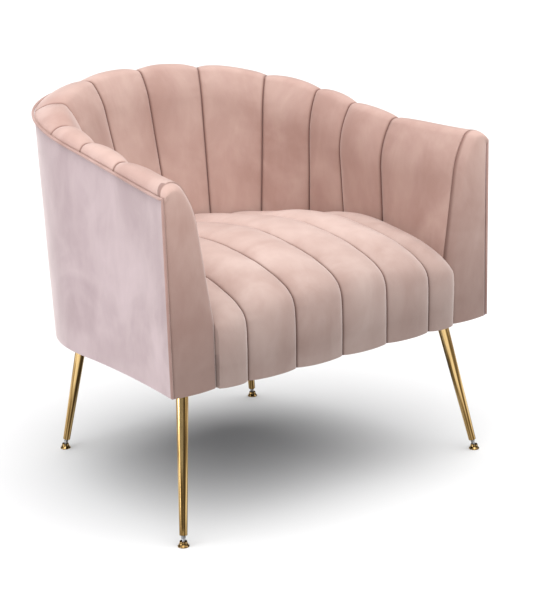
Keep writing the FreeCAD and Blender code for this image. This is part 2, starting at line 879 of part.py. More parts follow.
cross_straps = []
for number in range(5):
    start = size("front_board_y") + size("strap_width") + number * size("strap_pitch_along")
    half = half_width_at(start + size("strap_width"), size("strap_seat") + size("rail_setback"))
    cross_straps.append(bound_box(f"cross_strap_{number + 1}", Vector(-half, start, cross_strap_bottom),
                                  [str(2 * half), "Sizes.strap_width", "Sizes.strap_thickness"]))
grouped("webbing_crosswise", cross_straps)


# Seat: padded channels from front to back over a block of foam
seat_half = size("foot_half_width") - size("pad_crown") - size("seat_side_gap")
seat_back_y = size("tub_centre_y") + size("foot_depth") - size("pad_crown") - size("soft_gap")
seat_seams = [-seat_half, -2 * size("seat_channel_width"), -size("seat_channel_width"), 0,
              size("seat_channel_width"), 2 * size("seat_channel_width"), seat_half]


def seat_top(across, y):
    """Height of the seat's seams at a place."""
    side = (abs(across) / seat_half) ** 2.5
    if y < size("seat_crest_y"):
        share = (size("seat_crest_y") - y) / (size("seat_crest_y") - size("seat_front_y")
                                              - size("seat_roll_depth"))
        fall = (size("seat_height") - size("seat_roll_height")) * share ** 2
    else:
        share = (y - size("seat_crest_y")) / (seat_back_y - size("seat_crest_y"))
        fall = size("seat_back_fall") * share ** 2
    return size("seat_height") - fall - size("seat_side_fall") * side


ROLL_TURNS = (0, 25, 50, 70)
TOP_SHARES = (0.2, 0.45, 0.72, 1)
seat_inner_y = size("front_board_y") - size("soft_gap")


class SeatLine:
    """The seat's surface and the back of its padding along one line from front to back."""

    def __init__(self, across, fullness, back_y):
        crown = size("seat_crown") * fullness
        side = (abs(across) / seat_half) ** 2.5
        front = size("seat_front_y") - size("seat_front_swell") * (1 - side)
        low = size("hem_height")
        roll_top = seat_top(across, front + size("seat_roll_depth"))
        start = size("seat_roll_start")
        self.surface = [Vector(across, front - crown, low)]
        self.behind = [Vector(across, seat_inner_y, low)]
        for place, turn in enumerate(ROLL_TURNS):
            angle = math.radians(turn)
            y = front + size("seat_roll_depth") * (1 - math.cos(angle)) - crown * math.cos(angle)
            height = start + (roll_top - start) * math.sin(angle) + crown * math.sin(angle)
            self.surface.append(Vector(across, y, height))
            self.behind.append(Vector(across, seat_inner_y, start + (roll_top - start) * 0.2 * place))
        last_y = self.surface[-1].y
        for share in TOP_SHARES:
            y = last_y + (back_y - last_y) * share
            behind_y = max(y, seat_inner_y + 4 * share)
            self.surface.append(Vector(across, y, seat_top(across, y) + crown))
            self.behind.append(Vector(across, behind_y, seat_top(across, y) - size("seat_pad_thickness")))


def seat_end(across):
    """Where the seat meets the crowned channels of the back."""
    return back_of(across, -size("pad_crown") - 2 * size("soft_gap"))


def seat_channel(label, start, end):
    """Padded channel of the seat between two seams."""
    start = start + size("soft_gap") / 2
    end = end - size("soft_gap") / 2
    middle = (start + end) / 2
    ends = [seat_end(start), seat_end(end)]
    first = SeatLine(start, 0, ends[0])
    crest = SeatLine(middle, 1, sum(ends) / 2)
    last = SeatLine(end, 0, ends[1])
    rows = [crowned_row(*points) for points in zip(first.surface, crest.surface, last.surface)]
    faces = flat_faces(first.behind, last.behind)
    for low, high in zip(rows, rows[1:]):
        faces += flat_faces(low, high)
    faces += [flat_face(line.surface + line.behind[::-1]) for line in (first, last)]
    faces += [flat_face(rows[place] + [last.behind[place], first.behind[place]]) for place in (0, -1)]
    return shaped(label, solid_from(faces))


for number, (start, end) in enumerate(zip(seat_seams, seat_seams[1:]), start=1):
    seat_channel(f"seat_channel_{number}", start, end)


def seat_foam():
    """Foam block on the webbing, whose top runs just under the channels."""
    rings = []
    for across in seat_seams:
        line = SeatLine(across, 0, seat_end(across)).behind
        inner = size("front_board_y") + size("board_gap")
        ring = [Vector(across, inner, deck_height)]
        ring.append(Vector(across, inner, line[4].z - size("soft_gap")))
        ring += [point - Vector(0, 0, 2 * size("soft_gap")) for point in line[5:]]
        ring.append(Vector(across, ring[-1].y, deck_height))
        rings.append(ring + ring[:1])
    faces = []
    for first, last in zip(rings, rings[1:]):
        faces += flat_faces(first, last)
    faces += [flat_face(rings[0][:-1]), flat_face(rings[-1][:-1])]
    return shaped("seat_foam", solid_from(faces))


seat_foam()

# Legs, plates, bolts and levelling feet
def turned_with_flats(outline):
    """Solid turned about z from (radius, height) points, drawn with flat sides all round.

    The outline starts and ends at z, where a flat face closes it.
    """
    count = int(size("turned_sides"))
    turns = [2 * math.pi * index / count for index in range(count)] + [0]
    rings = [[Vector(radius * math.cos(turn), radius * math.sin(turn), height) for turn in turns]
             for radius, height in outline]
    faces = [flat_face(rings[0][:-1]), flat_face(rings[-1][:-1])]
    for low, high in zip(rings, rings[1:]):
        faces += flat_faces(low, high)
    return solid_from(faces)


def leg_tube(leg):
    """Tapered leg, bored at its end and cut level at its plate."""
    reach = (plate_bottom - leg.foot.z) * leg.stretch
    start = size("insert_start")
    taper = turned_with_flats([(size("leg_end_radius"), start),
                               (size("leg_top_radius"), reach + size("leg_top_radius"))])
    depth = size("stud_end") + size("stud_travel") - start
    bore = Part.makeCylinder(size("insert_radius") + size("bolt_gap"), depth, Vector(0, 0, start))
    tube = taper.cut(bore)
    tube.Placement = leg.placement
    room = 4 * size("leg_top_radius")
    corner = leg.at_height(plate_bottom) - Vector(room / 2, room / 2, 0)
    return shaped(f"leg_{leg.name}", tube.cut(Part.makeBox(room, room, room, corner)))


def leg_plate(leg):
    """Steel plate on top of a leg, with clipped corners and two bolt holes."""
    half_long = "Sizes.plate_length / 2"
    half_wide = "Sizes.plate_width / 2"
    long = "(Sizes.plate_length / 2 - Sizes.plate_corner)"
    wide = "(Sizes.plate_width / 2 - Sizes.plate_corner)"
    plate = padded_body(f"leg_plate_{leg.name}", "XY_Plane", [
        ("-" + long, "-" + half_wide), (long, "-" + half_wide), (half_long, "-" + wide),
        (half_long, wide), (long, half_wide), ("-" + long, half_wide), ("-" + half_long, wide),
        ("-" + half_long, "-" + wide),
    ], "Sizes.plate_thickness")
    holes = new_sketch(plate, f"plate_holes_{leg.name}", "XY_Plane")
    for end in (-1, 1):
        middle = Vector(end * size("bolt_spacing") / 2, 0, 0)
        circle = holes.addGeometry(Part.Circle(middle, Vector(0, 0, 1), hole_radius), False)
        holes.addConstraint(Sketcher.Constraint("PointOnObject", circle, 3, -1))
        across = holes.addConstraint(Sketcher.Constraint("DistanceX", -1, 1, circle, 3, middle.x))
        holes.setExpression(f"Constraints[{across}]", f"{end} * Sizes.bolt_spacing / 2")
        round_size = holes.addConstraint(Sketcher.Constraint("Radius", circle, hole_radius))
        holes.setExpression(f"Constraints[{round_size}]", "Sizes.bolt_radius + Sizes.bolt_gap")
    drilled = plate.newObject("PartDesign::Pocket", f"plate_drilled_{leg.name}")
    drilled.Profile = holes
    drilled.Type = 1
    drilled.Reversed = True
    plate.Placement = leg.plate_placement(plate_bottom)
    return keep(plate, f"leg_plate_{leg.name}")


def thread_insert(leg):
    """Threaded bush in the end of a leg."""
    insert_end = "(Sizes.insert_start + Sizes.insert_length)"
    bore = "(Sizes.stud_radius + Sizes.thread_gap)"
    insert = revolved_body(f"thread_insert_{leg.name}", [
        (bore, "Sizes.insert_start"), ("Sizes.insert_radius", "Sizes.insert_start"),
        ("Sizes.insert_radius", insert_end), (bore, insert_end),
    ])
    insert.Placement = leg.placement
    return insert


def levelling_stud(leg):
    """Threaded stud with a flat head that sits in the foot's socket."""
    stud = revolved_body(f"levelling_stud_{leg.name}", [
        ("0", "-Sizes.head_thickness / 2"), ("Sizes.head_radius", "-Sizes.head_thickness / 2"),
        ("Sizes.head_radius", "Sizes.head_thickness / 2"),
        ("Sizes.stud_neck_radius", "Sizes.head_thickness / 2"),
        ("Sizes.stud_neck_radius", "Sizes.stud_neck_end"), ("Sizes.stud_radius", "Sizes.stud_neck_end"),
        ("Sizes.stud_radius", "Sizes.stud_end"), ("0", "Sizes.stud_end"),
    ])
    stud.Placement = leg.placement
    return keep(stud, f"levelling_stud_{leg.name}")


def levelling_foot(leg):
    """Bell foot that stands level under a leaning stud."""
    foot = turned_with_flats([(size("foot_base_radius"), 0), (size("foot_neck_radius"), size("foot_top")),
                              (size("socket_radius"), size("foot_top")),
                              (size("socket_radius"), size("socket_floor"))])
    foot.translate(Vector(leg.foot.x, leg.foot.y, 0))
    return shaped(f"levelling_foot_{leg.name}", foot)


def leg_bolt(place):
    """Hexagon bolt through a plate, up into the ring."""
    turns = [math.radians(60 * index) for index in range(7)]
    head = flat_plate([place + Vector(math.cos(turn), math.sin(turn), 0) * size("bolt_head_radius")
                       - Vector(0, 0, size("bolt_head_height")) for turn in turns],
                      size("bolt_head_height"))
    return head.fuse(Part.makeCylinder(size("bolt_radius"), size("bolt_length"), place))


for leg in LEGS:
    leg_tube(leg)
    leg_plate(leg)
    levelling_stud(leg)
    levelling_foot(leg)
grouped("thread_inserts", [thread_insert(leg) for leg in LEGS])
bolts = [leg_bolt(place) for leg in LEGS for place in leg.bolt_places(plate_bottom)]
shaped("leg_bolts", Part.makeCompound(bolts))

doc.recompute()

for obj in doc.Objects:
    if "Invalid" in obj.State or "Error" in obj.State:
        raise RuntimeError(f"{obj.Label} is {obj.State}")
for obj in parts:
    if obj.Shape.isNull() or not obj.Shape.isValid() or not obj.Shape.Solids:
        raise RuntimeError(f"{obj.Label} has no sound shape")

os.makedirs("parts", exist_ok=True)
for obj in parts:
    obj.Shape.exportStep(f"parts/{obj.Label}.step")
print(len(parts), "sub-parts written")
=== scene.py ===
"""Looks of the tub chair with a scalloped back: velvet channels, piping, gold legs and the frame inside."""

import json
import math

import bmesh
import bpy
from mathutils import Matrix, Vector, noise


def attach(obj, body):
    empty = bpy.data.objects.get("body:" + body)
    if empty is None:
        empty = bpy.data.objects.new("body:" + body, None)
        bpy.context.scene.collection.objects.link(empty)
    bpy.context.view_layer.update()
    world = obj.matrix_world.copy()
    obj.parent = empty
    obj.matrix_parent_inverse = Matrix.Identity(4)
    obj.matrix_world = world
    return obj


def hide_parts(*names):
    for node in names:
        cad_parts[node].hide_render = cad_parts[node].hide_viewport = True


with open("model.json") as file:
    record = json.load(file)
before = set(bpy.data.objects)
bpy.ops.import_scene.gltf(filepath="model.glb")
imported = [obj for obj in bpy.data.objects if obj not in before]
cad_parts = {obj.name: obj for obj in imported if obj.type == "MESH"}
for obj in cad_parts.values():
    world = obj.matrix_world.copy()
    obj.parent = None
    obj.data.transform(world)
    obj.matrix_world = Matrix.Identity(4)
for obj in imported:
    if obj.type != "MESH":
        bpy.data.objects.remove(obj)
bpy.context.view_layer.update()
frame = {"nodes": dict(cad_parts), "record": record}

# Sizes in metres, in the same frame as the solids
TUB_CENTRE_Y = -0.0026
ARM_LENGTH = 0.298
FLARE_GROWTH = 1.8
# Plan lines: half width, depth, roundness and flare at the arm's front
FOOT = (0.2715, 0.1885, 1.95, 0.0005)
CREST = (0.3035, 0.288, 2.2, 0.036)
EDGE = (0.323, 0.3165, 2.8, 0.039)
HEM = (0.332, 0.303, 2.3, 0.028)
HEM_HEIGHT = 0.263
ARM_HEIGHT = 0.611
BACK_HEIGHT = 0.714
RIM_GROWTH = 1.7
EDGE_DROP = 0.0175
RIM_RADIUS = 0.0205
RIM_BLEND = math.radians(35)
HOLLOW_RADIUS = 0.145
FOOT_HEIGHT = 0.3736
SQUARE = 90
SEAM_TURNS = (0, 25.7, 51.6, 72.8, SQUARE, SQUARE + 0.11)
PAD_CROWN = 0.008
RIM_CROWN = 0.003
SEAM_TUCK = 0.006
SEAM_PUCKER = 0.0018
UNEVEN = 0.0018
FINE_UNEVEN = 0.0004
GROOVE_START = 0.93
GROOVE_WIDTH = 0.06
PAD_SKIN = 0.012
SEAT_SKIN = 0.024
SEAT_CROWN = 0.0095
COVER_SKIN = 0.0025
UNDER_PIPING = 0.0012
HEM_TURN = 0.011
HEM_LIFT = 0.0004
PIPING_RADIUS = 0.0026
PIPING_GAP = 0.0003
PIPING_SETBACK = 0.003
CORNER_LIFT = 0.0004
BOARD_FORWARD = 0.2805
CORNER_REACH = 0.0135
PANEL_LOW = HEM_HEIGHT + 0.001
PANEL_FULL = 0.0175
PANEL_SWELL = 0.0055
PANEL_ROUND = 0.015
PANEL_SEAM_SINK = 0.003
PANEL_SEAM_WIDTH = 0.007
SEAT_SEAM = 0.104
SEAT_HALF = 0.2685
SEAT_SIDE_FALL = 0.025
SEAT_FRONT_SWELL = 0.004
SEAT_OUTER_EDGE = 0.84
# The seat's middle seam from the hem up and back, as (y, z)
SEAT_LINE = ((-0.3103, 0.263), (-0.3113, 0.336), (-0.3072, 0.3795), (-0.2896, 0.403),
             (-0.2536, 0.4207), (-0.2023, 0.436), (-0.1282, 0.4485), (-0.0736, 0.4526),
             (0.0127, 0.4485), (0.0898, 0.4382), (0.1974, 0.425))
SEAT_BOX_FRONT_Y = -0.2828
CLOTH_INSET = 0.0112
CLOTH_HEIGHT = 0.2658
STRAP_WIDTH = 0.05
STRAP_THICKNESS = 0.0012
CHAIR = "chair"


class Station:
    """An upright plane across the shell at a signed place, with the shell's lines in it.

    A place up to 90 is a turn in degrees from the middle of the back; past 90 it goes forward in metres.
    """

    def __init__(self, place, side):
        turn = math.radians(min(place, SQUARE))
        self.forward = max(place - SQUARE, 0)
        self.origin = Vector((0, TUB_CENTRE_Y - self.forward, 0))
        self.out = Vector((side * math.sin(turn), math.cos(turn), 0))
        share = (self.forward / ARM_LENGTH) ** FLARE_GROWTH
        self.foot, self.crest, self.edge, self.hem = (
            self.reach_of(line, turn) + line[3] * share for line in (FOOT, CREST, EDGE, HEM))
        arm_front_y = TUB_CENTRE_Y - ARM_LENGTH
        back_y = TUB_CENTRE_Y + CREST[1]
        run = self.origin.y + self.out.y * self.crest - arm_front_y
        rise = max(0, run / (back_y - arm_front_y)) ** RIM_GROWTH
        self.crest_height = ARM_HEIGHT + (BACK_HEIGHT - ARM_HEIGHT) * rise
        self.edge_height = self.crest_height - EDGE_DROP

    @staticmethod
    def reach_of(line, turn):
        half, depth, power, _ = line
        across = abs(math.sin(turn)) / half
        back = abs(math.cos(turn)) / depth
        return (across ** power + back ** power) ** (-1 / power)

    def point(self, reach, height):
        return self.origin + self.out * reach + Vector((0, 0, height))


class Profile:
    """Inner face and rolled rim in one station: a straight foot and three arcs, of (reach, height)."""

    def __init__(self, station):
        self.station = station
        self.rim_centre = (station.crest, station.crest_height - RIM_RADIUS)
        along = HOLLOW_RADIUS - RIM_RADIUS
        self.hollow_centre = (self.rim_centre[0] + along * math.cos(RIM_BLEND),
                              self.rim_centre[1] - along * math.sin(RIM_BLEND))
        self.foot = (station.foot, FOOT_HEIGHT)
        run = self.hollow_centre[0] - self.foot[0]
        climb = self.hollow_centre[1] - self.foot[1]
        touch = math.atan2(climb, run) + math.asin(HOLLOW_RADIUS / math.hypot(run, climb))
        self.lean = math.pi / 2 - touch
        out = station.edge - station.crest
        self.fall_radius = (out * out + EDGE_DROP * EDGE_DROP) / (2 * EDGE_DROP)
        self.fall_turn = 2 * math.atan2(EDGE_DROP, out)

    @staticmethod
    def on_circle(centre, radius, tilt):
        return (centre[0] - radius * math.cos(tilt), centre[1] + radius * math.sin(tilt))

    def spot(self, along):
        """(reach, height) at a distance along: 0 to 1 the foot, 1 to 2 hollow, 2 to 3 rim, 3 to 4 fall."""
        part = min(int(along), 3)
        share = along - part
        if part == 0:
            waist = self.on_circle(self.hollow_centre, HOLLOW_RADIUS, self.lean)
            return tuple(low + (high - low) * share for low, high in zip(self.foot, waist))
        if part == 1:
            tilt = self.lean + (RIM_BLEND - self.lean) * share
            return self.on_circle(self.hollow_centre, HOLLOW_RADIUS, tilt)
        if part == 2:
            tilt = RIM_BLEND + (math.pi / 2 - RIM_BLEND) * share
            return self.on_circle(self.rim_centre, RIM_RADIUS, tilt)
        turn = self.fall_turn * share
        return (self.station.crest + self.fall_radius * math.sin(turn),
                self.station.crest_height - self.fall_radius * (1 - math.cos(turn)))


def shell_point(place, along, side):
    station = Station(place, side)
    return station.point(*Profile(station).spot(along))


def surface_normal(surface, across, along):
    """Unit normal of a surface of two shares, by the right hand from across to along."""
    step = 0.002
    one = surface(min(across + step, 1), along) - surface(max(across - step, 0), along)
    two = surface(across, min(along + step, 1)) - surface(across, max(along - step, 0))
    return one.cross(two).normalized()


def new_piece(name, bm, replaced=(), body=CHAIR, smooth=True):
    """A finished mesh as an object that rides on its body and stands for the named solids."""
    bmesh.ops.recalc_face_normals(bm, faces=bm.faces[:])
    mesh = bpy.data.meshes.new(name)
    bm.to_mesh(mesh)
    bm.free()
    for face in mesh.polygons:
        face.use_smooth = smooth
    mesh.set_sharp_from_angle(angle=math.radians(55))
    piece = bpy.data.objects.new(name, mesh)
    bpy.context.scene.collection.objects.link(piece)
    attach(piece, body)
    if replaced:
        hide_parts(*replaced)
    return piece


def grid_on(surface, columns, rows, groove=None):
    """Grid whose points lie on a surface of two shares, with a mask of painted shade in the sewn grooves.
    """
    bm = bmesh.new()
    bmesh.ops.create_grid(bm, x_segments=columns, y_segments=rows, size=1)
    # Mask of painted shade: how strongly the colour is darkened in a seam's groove.
    shade_mark = bm.verts.layers.float.new("groove")
    for vert in bm.verts:
        across, along = (vert.co.x + 1) / 2, (vert.co.y + 1) / 2
        vert.co = surface(across, along)
        if groove:
            vert[shade_mark] = groove(across, along)
    bmesh.ops.remove_doubles(bm, verts=bm.verts[:], dist=1e-6)
    return bm


def closed_skin(bm, thickness, heart, outward=False):
    """Closes an open sheet that faces a point, or away from it, by a second skin behind it."""
    bmesh.ops.recalc_face_normals(bm, faces=bm.faces[:])
    middle = max(bm.faces, key=lambda face: face.calc_area())
    toward = middle.normal.dot(heart - middle.calc_center_median()) > 0
    if toward == outward:
        bmesh.ops.reverse_faces(bm, faces=bm.faces[:])
    bm.normal_update()
    bmesh.ops.solidify(bm, geom=bm.faces[:], thickness=thickness)


def backed_skin(bm, back):
    """Closes an open sheet by a copy of itself moved back from place to place, with walls between."""
    grown = bmesh.ops.extrude_face_region(bm, geom=bm.faces[:], use_keep_orig=True)
    for item in grown["geom"]:
        if isinstance(item, bmesh.types.BMVert):
            item.co += back(item.co)


def puff(across):
    """Rise of a stuffed channel across it, from -1 at one seam through its crown to 1 at the next."""
    return (1 - abs(across) ** 2.1) ** 0.6


def crowded(share):
    """Share moved towards both ends, so that a grid is finest at the seams."""
    return (1 - math.cos(math.pi * share)) / 2


def softness(point, scale, height):
    """Small uneven swelling of stuffed cloth."""
    return noise.noise(point * scale) * height


def pad_lift(base, across, crown, along_pull=1.0):
    """How far a channel's skin stands off its base line, sunk at the seams and uneven by a hair."""
    tight = abs(across) ** 6
    squeezed = Vector((base.x * 40, base.y * 40, base.z * 95))
    pucker = noise.noise(squeezed) * SEAM_PUCKER * tight * (1 - tight)
    uneven = softness(base, 9, UNEVEN) + softness(base + Vector((3, 1, 2)), 26, FINE_UNEVEN)
    rounded = puff(across)
    return -SEAM_TUCK + (crown + SEAM_TUCK) * rounded + (uneven + 4 * pucker) * rounded * along_pull


PARTS_ALONG = ((0, 1, 34), (1, 2, 22), (2, 3, 22), (3, 4, 16))
ROWS = sum(part[2] for part in PARTS_ALONG)


def along_of(share):
    """Distance along the profile of a row, so that the rim has more rows than the foot."""
    row = share * ROWS
    for start, end, count in PARTS_ALONG:
        if row <= count:
            return start + (end - start) * row / count
        row -= count
    return PARTS_ALONG[-1][1]


def crown_at(along):
    """Crown of a back channel along its profile: full on the face, less on the rim, none at the edge."""
    if along <= 1:
        return PAD_CROWN
    if along <= 3:
        return PAD_CROWN + (RIM_CROWN - PAD_CROWN) * (along - 1) / 2
    return RIM_CROWN * (1 - (along - 3) ** 2)


TUB_HEART = Vector((0, -0.06, 0.62))


def groove_of(signed):
    """How deep in a sewn groove a point across a channel lies, which sets how much painted shade it gets.
    """
    return min(1, max(0, (abs(signed) - GROOVE_START) / GROOVE_WIDTH)) ** 1.5


def corner_reach(along):
    """How much further forward the end of the arm's pad runs where it falls to the piping."""
    return CORNER_REACH * max(0, along - 3) ** 1.5


def shell_channel(name, first, last, side, open_end=False):
    """Channel of the back or arm between two seams, from the seat up over the rim to the piping."""
    def base(across, along):
        reach = along_of(along)
        end = last + corner_reach(reach) if open_end else last
        return shell_point(first + (end - first) * across, reach, side)

    def signed_of(across):
        signed = 2 * crowded(across) - 1
        return 0 if open_end and signed > 0 else signed

    def skin(across, along):
        signed = signed_of(across)
        across = crowded(across)
        point = base(across, along)
        reach = along_of(along)
        fade = max(0, reach - 3)
        lift = pad_lift(point, signed, crown_at(reach), 1 - fade)
        lift += fade * SEAM_TUCK * (1 - puff(signed)) * 0.8
        return point + surface_normal(base, across, along) * (lift * (1 if side > 0 else -1))

    columns = 40 if open_end else 30
    # Painted shade in the seams: the mask darkens the colour where the channel dives to its neighbour.
    bm = grid_on(skin, columns, ROWS, lambda across, along: groove_of(signed_of(across)))
    closed_skin(bm, PAD_SKIN, TUB_HEART)
    piece = new_piece(name + "_velvet", bm, [name])
    return piece


def spline_point(points, share):
    """Smooth line through points, with a cubic between each two, at a share of their count."""
    spans = len(points) - 1
    place = min(share * spans, spans - 1e-6)
    index = int(place)
    part = place - index
    before, start, end, after = (points[min(max(index + step, 0), spans)] for step in (-1, 0, 1, 2))
    return tuple(0.5 * (2 * b + (c - a) * part + (2 * a - 5 * b + 4 * c - d) * part ** 2
                        + (3 * b - a - 3 * c + d) * part ** 3)
                 for a, b, c, d in zip(before, start, end, after))


def back_of_seat(across):
    """Where the seat meets the back channels."""
    half, depth, power, _ = FOOT
    share = min(abs(across) / half, 1) ** power
    return TUB_CENTRE_Y + (depth - 0.005) * (1 - share) ** (1 / power)


def seat_base(across, share):
    """Seat's seam surface at a distance across and a share from the front hem to the back."""
    y, z = spline_point(SEAT_LINE, share)
    side = min(abs(across) / SEAT_HALF, 1) ** 2.5
    on_top = min(max((z - 0.34) / 0.07, 0), 1)
    z -= SEAT_SIDE_FALL * side * on_top * on_top * (3 - 2 * on_top)
    front = min(max((-0.2 - y) / 0.1, 0), 1)
    y += SEAT_FRONT_SWELL * side * front
    crest_y = SEAT_LINE[7][0]
    if y > crest_y:
        reach = (y - crest_y) / (SEAT_LINE[-1][0] - crest_y)
        y = crest_y + (back_of_seat(across) - crest_y) * reach
    return Vector((across, y, z))


def seat_channel(number, start, end):
    """Seat channel between two seams, from the hem up over the front roll to the back."""
    def base(across, along):
        return seat_base(start + (end - start) * across, along)

    def signed_of(signed):
        """The seat's outermost edges press on the arms and stay fuller than its seams."""
        outer_seam = 2 * SEAT_SEAM
        outermost = (start * signed > 0 and abs(start) > outer_seam
                     or end * signed > 0 and abs(end) > outer_seam)
        return signed * SEAT_OUTER_EDGE if outermost else signed

    def skin(across, along):
        across = crowded(across)
        point = base(across, along)
        signed = signed_of(2 * across - 1)
        normal = surface_normal(base, across, along)
        hem_fade = min(along * 9, 1)
        crown = SEAT_CROWN * (0.55 + 0.45 * hem_fade)
        return point + normal * pad_lift(point, signed, crown)

    def behind(point):
        """Behind the front and under the top, so that the channel's sides stay upright."""
        on_top = min(max((point.z - 0.355) / 0.06, 0), 1)
        on_top *= on_top * (3 - 2 * on_top)
        return Vector((0, SEAT_SKIN * (1 - on_top), -SEAT_SKIN * on_top))

    columns = 24 if end - start < 0.08 else 36
    # Painted shade in the seat's seams; the fuller outermost edges get none.
    def groove(across, along):
        return groove_of(signed_of(2 * crowded(across) - 1))

    bm = grid_on(skin, columns, 120, groove)
    backed_skin(bm, behind)
    piece = new_piece(f"seat_channel_{number}_velvet", bm, [f"seat_channel_{number}"])
    return piece


def front_panel(side_name, side):
    """Pad on the front of an arm, rounded into the arm's inner face and the rim, flush at the piping."""
    station = Station(SQUARE + ARM_LENGTH, side)
    profile = Profile(station)
    top = station.crest_height
    under_rim = 0.97

    def inner(along):
        if along < 0:
            height = FOOT_HEIGHT + (FOOT_HEIGHT - PANEL_LOW) * along
            return (station.foot - PAD_CROWN, height)
        here, after = profile.spot(along), profile.spot(min(along + 0.01, 4))
        if along > 3.98:
            before = profile.spot(3.98)
            run, climb = here[0] - before[0], here[1] - before[1]
        else:
            run, climb = after[0] - here[0], after[1] - here[1]
        length = math.hypot(run, climb)
        lift = crown_at(along)
        return (here[0] - climb / length * lift, here[1] + run / length * lift)

    def skin(across, up):
        along = -1 + 5 * up
        start = inner(along)
        if along <= 3:
            share = under_rim * max(0, (start[1] - PANEL_LOW) / (top - PANEL_LOW))
        else:
            share = under_rim + (1 - under_rim) * (along - 3)
        end = (station.hem + (station.edge - station.hem) * share - UNDER_PIPING,
               PANEL_LOW + (station.edge_height - PANEL_LOW) * share)
        width = math.hypot(end[0] - start[0], end[1] - start[1])
        part = crowded(across)
        far = width * part
        rounding = min(far / PANEL_ROUND, 1)
        rise = math.sqrt(1 - (1 - rounding) ** 2)
        seam = 1 - min((width - far) / PANEL_SEAM_WIDTH, 1)
        corner = corner_reach(along)
        forward = BOARD_FORWARD + corner + (PANEL_FULL - corner) * rise
        forward += PANEL_SWELL * math.sin(math.pi * part) * rise - PANEL_SEAM_SINK * seam * seam
        point = Vector((side * (start[0] + (end[0] - start[0]) * part), TUB_CENTRE_Y - forward,
                        start[1] + (end[1] - start[1]) * part))
        point.y -= softness(point, 14, 0.0009) * rise
        return point

    def groove(across, up):
        # Painted shade along the seam to the arm's inner face and along the outer edge beside the piping.
        inner_seam = 0.8 * max(0, 1 - crowded(across) / 0.025)
        return max(inner_seam, max(0, (crowded(across) - 0.95) / 0.05) ** 2)

    def behind(point):
        """Behind the pad's skin, drawn in where the arm narrows towards the back."""
        outward = min(max((abs(point.x) - station.foot) / (station.edge - station.foot), 0), 1)
        return Vector((-side * 0.3 * PAD_SKIN * outward, PAD_SKIN, 0))

    bm = grid_on(skin, 44, 150, groove)
    backed_skin(bm, behind)
    piece = new_piece(f"arm_front_panel_{side_name}_velvet", bm, [f"arm_front_panel_{side_name}"])
    return piece


def outer_cover():
    """Tight velvet round the outside, with its hem turned under the base."""
    front = SQUARE + ARM_LENGTH - UNDER_PIPING
    side_share = 0.7
    hem_share = 0.08
    low = HEM_HEIGHT + HEM_LIFT

    def place_of(share):
        signed = 2 * share - 1
        side = -1 if signed < 0 else 1
        size = abs(signed)
        if size < side_share:
            return SQUARE * size / side_share, side
        return SQUARE + (front - SQUARE) * (size - side_share) / (1 - side_share), side

    def skin(across, up):
        place, side = place_of(across)
        station = Station(place, side)
        top = station.edge_height - UNDER_PIPING
        if up < hem_share:
            return station.point(station.hem - HEM_TURN * (1 - up / hem_share), low)
        rise = (up - hem_share) / (1 - hem_share)
        reach = station.hem + (station.edge - station.hem) * rise
        point = station.point(reach, low + (top - HEM_HEIGHT) * rise)
        belly = math.sin(math.pi * rise)
        return point + station.out * (0.0012 * belly + softness(point, 7, 0.0008) * belly)

    bm = grid_on(skin, 260, 50)
    closed_skin(bm, COVER_SKIN, TUB_HEART, outward=True)
    piece = new_piece("outer_cover_velvet", bm,
                      ["outer_cover_left", "outer_cover_right", "outer_cover_back"])
    return piece


def tube_along(name, points, radius):
    """Round tube along points, as a finished mesh."""
    curve = bpy.data.curves.new(name, "CURVE")
    curve.dimensions = "3D"
    curve.bevel_depth = radius
    curve.bevel_resolution = 4
    curve.use_fill_caps = True
    spline = curve.splines.new("POLY")
    spline.points.add(len(points) - 1)
    for knot, point in zip(spline.points, points):
        knot.co = (*point, 1)
    maker = bpy.data.objects.new(name + "_line", curve)
    bpy.context.scene.collection.objects.link(maker)
    mesh = bpy.data.meshes.new_from_object(maker.evaluated_get(bpy.context.evaluated_depsgraph_get()))
    bpy.data.objects.remove(maker)
    bm = bmesh.new()
    bm.from_mesh(mesh)
    bpy.data.meshes.remove(mesh)
    bmesh.ops.remove_doubles(bm, verts=bm.verts[:], dist=1e-6)
    return bm


def piping():
    """Self-covered piping along the outer edge of the rim and down both front corners."""
    front = ARM_LENGTH - PIPING_SETBACK
    places = [SQUARE * step / 60 for step in range(61)]
    places += [SQUARE + front * step / 40 for step in range(1, 41)]
    points = []
    for side in (-1, 1):
        run = []
        for place in places:
            station = Station(place, side)
            run.append(station.point(station.edge + PIPING_RADIUS + PIPING_GAP, station.edge_height))
        corner = Station(SQUARE + ARM_LENGTH, side)
        corner.origin.y = TUB_CENTRE_Y - front - PIPING_RADIUS
        for step in range(13):
            share = step / 12
            reach = corner.edge + (corner.hem - corner.edge) * share + PIPING_GAP
            height = corner.edge_height + CORNER_LIFT
            run.append(corner.point(reach, height + (HEM_HEIGHT + 0.003 - height) * share))
        points = run[::-1] if side < 0 else points + run[1:]
    bm = tube_along("piping", points, PIPING_RADIUS)
    return new_piece("piping_velvet", bm, ["piping"])


# Legs and feet
LEG_SIDES = 48
# Each foot's x and y, and how far its leg leans inward and forward on each metre of height
LEG_PLACES = {
    "front": (0.3428, -0.2886, 0.171, 0.182),
    "back": (0.2323, 0.2554, 0.164, -0.129),
}
PIVOT_HEIGHT = 0.0047
PLATE_HEIGHT = 0.263


def leg_frame(side, end):
    """Matrix that stands the leg's own z on the pivot of its foot and leans it up to its plate."""
    x, y, inward, fore = LEG_PLACES[end]
    axis = Vector((-side * inward, fore, 1)).normalized()
    turn = Vector((0, 0, 1)).rotation_difference(axis).to_matrix().to_4x4()
    return Matrix.Translation((side * x, y, PIVOT_HEIGHT)) @ turn, axis


